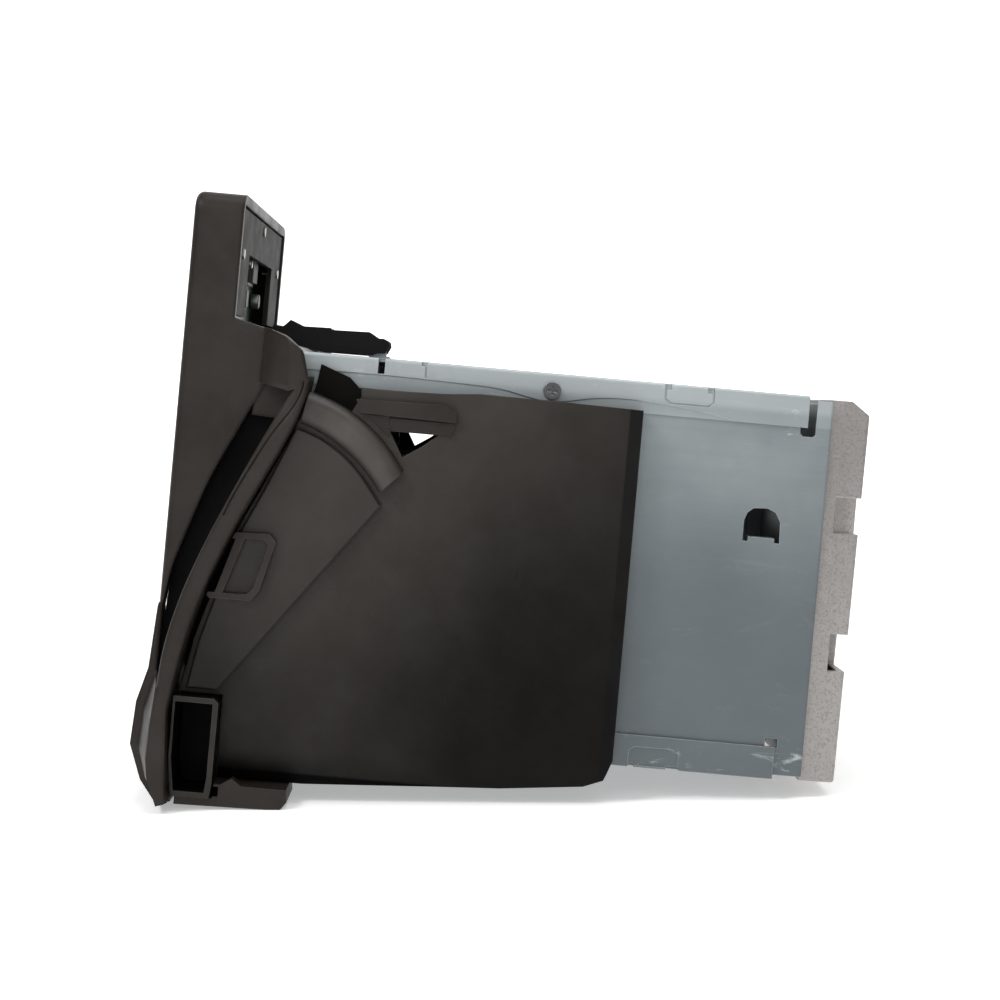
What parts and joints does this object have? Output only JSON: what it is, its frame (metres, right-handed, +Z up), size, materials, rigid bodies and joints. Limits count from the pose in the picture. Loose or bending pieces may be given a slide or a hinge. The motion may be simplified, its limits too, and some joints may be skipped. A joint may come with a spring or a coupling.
{
  "type": "bill validator",
  "caption": "Front-loading bill validator: flared bezel with scooped note mouth, side shrouds, folded steel chassis, roller note transport and cast rear cover.",
  "frame": {"origin": "centre of the four mounting holes in the chassis floor, on the floor's underside", "axes": "+X from the bezel to the rear, +Y across to the user's left, +Z up"},
  "size_m": [0.1848, 0.14, 0.159],
  "materials": {
    "bezel_plastic": "fine moulded texture",
    "dark_plastic": "fine moulded texture",
    "zinc_steel": "zinc plated sheet",
    "cast_aluminium": "fine cast grain",
    "bright_steel": "machined",
    "rubber": "matte",
    "white_plastic": "satin",
    "brass": "machined",
    "clear_plastic": "clear",
    "circuit_board": "solder mask"
  },
  "bodies": {
    "housing": {"board_standoffs": "bright_steel", "chassis_bottom_cover": "zinc_steel", "chassis_rear_wall": "zinc_steel", "chassis_sides": "zinc_steel", "chassis_top_cover": "zinc_steel", "chin_pockets": "bezel_plastic", "cover_screws": "bright_steel", "display_window": "clear_plastic", "drive_belt": "rubber", "drive_motor": "bright_steel", "encoder_sensor": "dark_plastic", "entry_nozzle": "dark_plastic", "fascia": "bezel_plastic", "fascia_back_panel": "bezel_plastic", "fascia_screws": "bright_steel", "feet": "bezel_plastic", "head_spring": "bright_steel", "indicator_board": "circuit_board", "indicator_lamps": "clear_plastic", "lever_bracket": "zinc_steel", "lever_pin": "bright_steel", "light_guide": "clear_plastic", "lower_guide": "dark_plastic", "magnetic_head": "bright_steel", "main_board": "circuit_board", "rear_connector": "dark_plastic", "rear_cover": "cast_aluminium", "rear_cover_screws": "bright_steel", "rear_inner_plate": "zinc_steel", "sensor_boards": "circuit_board", "sensor_windows": "clear_plastic", "shaft_bushes": "brass", "shroud_screws": "bright_steel", "shutter_solenoid": "bright_steel", "side_covers": "bezel_plastic", "side_shroud_left": "bezel_plastic", "side_shroud_right": "bezel_plastic", "snap_loops": "bezel_plastic", "throat_panel": "dark_plastic", "transport_sides": "zinc_steel", "trim_rails": "bezel_plastic", "upper_guide": "dark_plastic"},
    "release_lever": {"release_lever": "dark_plastic", "lever_spring": "bright_steel"},
    "shutter": {"note_shutter": "dark_plastic", "solenoid_plunger": "bright_steel"},
    "rear_drive": {"rear_drive_shaft": "bright_steel", "rear_feed_rollers": "rubber", "drive_gear": "white_plastic", "rear_pulley": "white_plastic"},
    "front_drive": {"front_drive_shaft": "bright_steel", "front_feed_rollers": "rubber", "front_pulley": "white_plastic", "encoder_wheel": "white_plastic"},
    "motor_rotor": {"motor_shaft": "bright_steel", "motor_pinion": "brass"},
    "front_pinch": {"front_pinch_shaft": "bright_steel", "front_pinch_rollers": "white_plastic"},
    "rear_pinch": {"rear_pinch_shaft": "bright_steel", "rear_pinch_rollers": "white_plastic"}
  },
  "joints": [
    {"name": "lever_lift", "type": "hinge", "parent": "housing", "child": "release_lever", "pos_m": [-0.0475, -0.039, 0.1033], "axis": [0, 1, 0], "range_deg": [0, 30], "stiffness_Nm_per_rad": 0.01, "springref_deg": -11.46},
    {"name": "shutter_slide", "type": "slide", "parent": "housing", "child": "shutter", "axis": [0, 0, 1], "range_m": [0, 0.008]},
    {"name": "rear_roller_spin", "type": "hinge", "parent": "housing", "child": "rear_drive", "pos_m": [0.046, 0, 0.0385], "axis": [0, 1, 0], "continuous": true},
    {"name": "front_roller_spin", "type": "hinge", "parent": "housing", "child": "front_drive", "pos_m": [-0.046, 0, 0.0385], "axis": [0, 1, 0], "continuous": true},
    {"name": "motor_spin", "type": "hinge", "parent": "housing", "child": "motor_rotor", "pos_m": [0.0268, 0, 0.0241], "axis": [0, 1, 0], "continuous": true},
    {"name": "front_pinch_spin", "type": "hinge", "parent": "housing", "child": "front_pinch", "pos_m": [-0.046, 0, 0.0563], "axis": [0, 1, 0], "continuous": true},
    {"name": "rear_pinch_spin", "type": "hinge", "parent": "housing", "child": "rear_pinch", "pos_m": [0.046, 0, 0.0563], "axis": [0, 1, 0], "continuous": true}
  ],
  "couplings": [
    {"joint": "front_roller_spin", "follows": "rear_roller_spin", "ratio": 1},
    {"joint": "motor_spin", "follows": "rear_roller_spin", "ratio": -3},
    {"joint": "front_pinch_spin", "follows": "rear_roller_spin", "ratio": -1.6923},
    {"joint": "rear_pinch_spin", "follows": "rear_roller_spin", "ratio": -1.6923}
  ]
}
